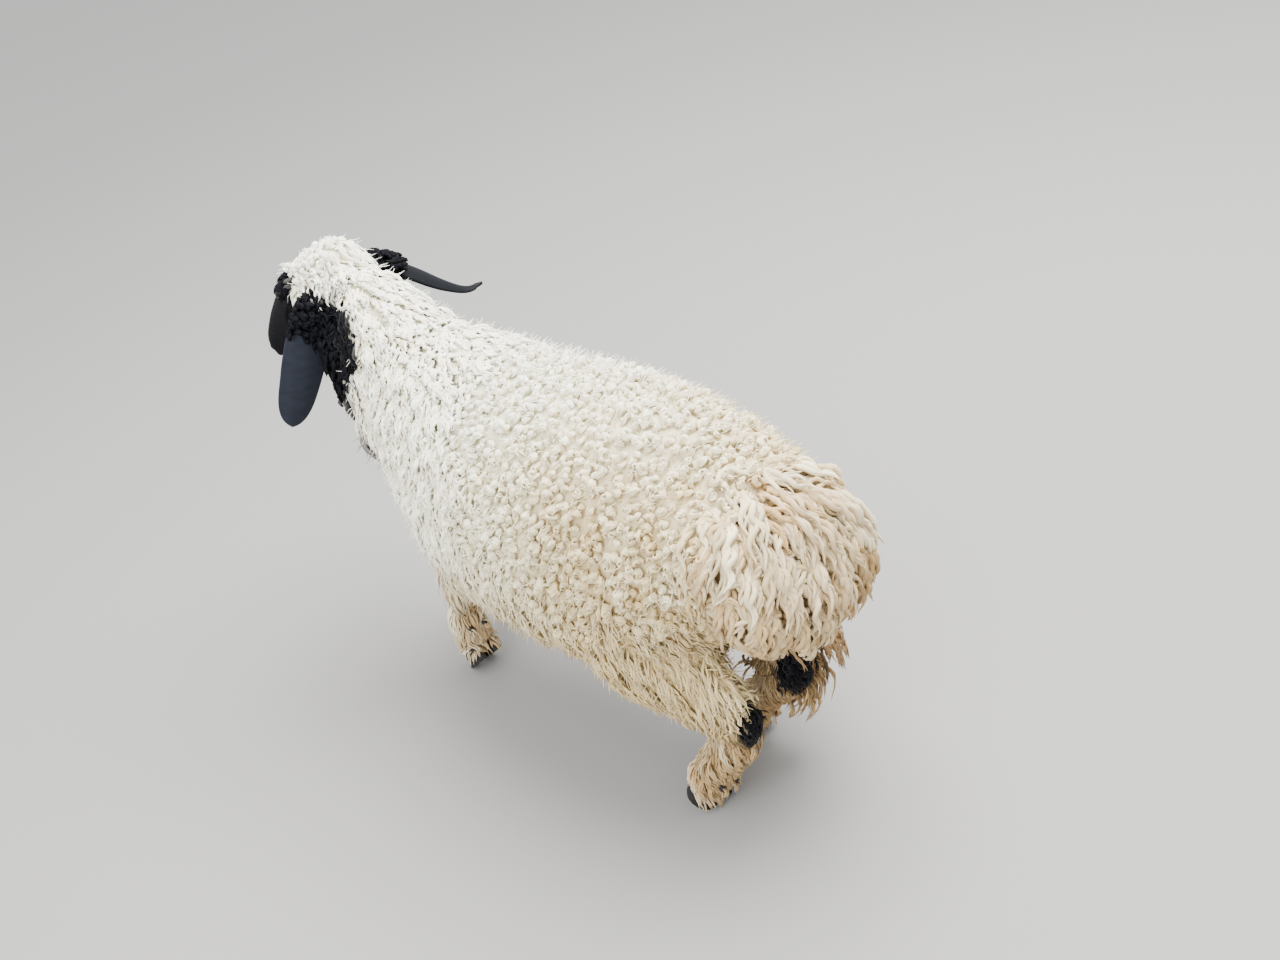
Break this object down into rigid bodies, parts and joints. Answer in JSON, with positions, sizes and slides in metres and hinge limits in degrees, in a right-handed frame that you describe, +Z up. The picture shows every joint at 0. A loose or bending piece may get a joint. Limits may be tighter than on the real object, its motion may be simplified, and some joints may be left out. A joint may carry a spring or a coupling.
{
  "type": "shorn sheep",
  "caption": "Life-size fat-tailed sheep with a short cream fleece, black face and hanging ears, modelled in a walking stance.",
  "frame": {"origin": "on the floor, below the middle of the bounding box", "axes": "-Y is the way the sheep faces, +X its left side, +Z up"},
  "size_m": [0.4586, 1.2902, 0.7802],
  "materials": {
    "fleece": "matte",
    "poll_wool": "matte",
    "face_hair": "satin",
    "leg_hair": "matte",
    "ear_skin": "satin",
    "eye": "gloss",
    "horn": "satin"
  },
  "bodies": {
    "root": {"claw_fore_left_inner": "horn", "claw_fore_left_outer": "horn", "claw_fore_right_inner": "horn", "claw_fore_right_outer": "horn", "claw_hind_left_inner": "horn", "claw_hind_left_outer": "horn", "claw_hind_right_inner": "horn", "claw_hind_right_outer": "horn", "dewclaw_fore_left_inner": "horn", "dewclaw_fore_left_outer": "horn", "dewclaw_fore_right_inner": "horn", "dewclaw_fore_right_outer": "horn", "dewclaw_hind_left_inner": "horn", "dewclaw_hind_left_outer": "horn", "dewclaw_hind_right_inner": "horn", "dewclaw_hind_right_outer": "horn", "ear_left": "ear_skin", "ear_right": "ear_skin", "eye_left": "eye", "eye_right": "eye", "foreleg_left": "leg_hair", "foreleg_right": "leg_hair", "head": "poll_wool", "hindleg_left": "leg_hair", "hindleg_right": "leg_hair", "muzzle": "face_hair", "neck": "fleece", "tail": "fleece", "trunk": "fleece"}
  },
  "joints": []
}
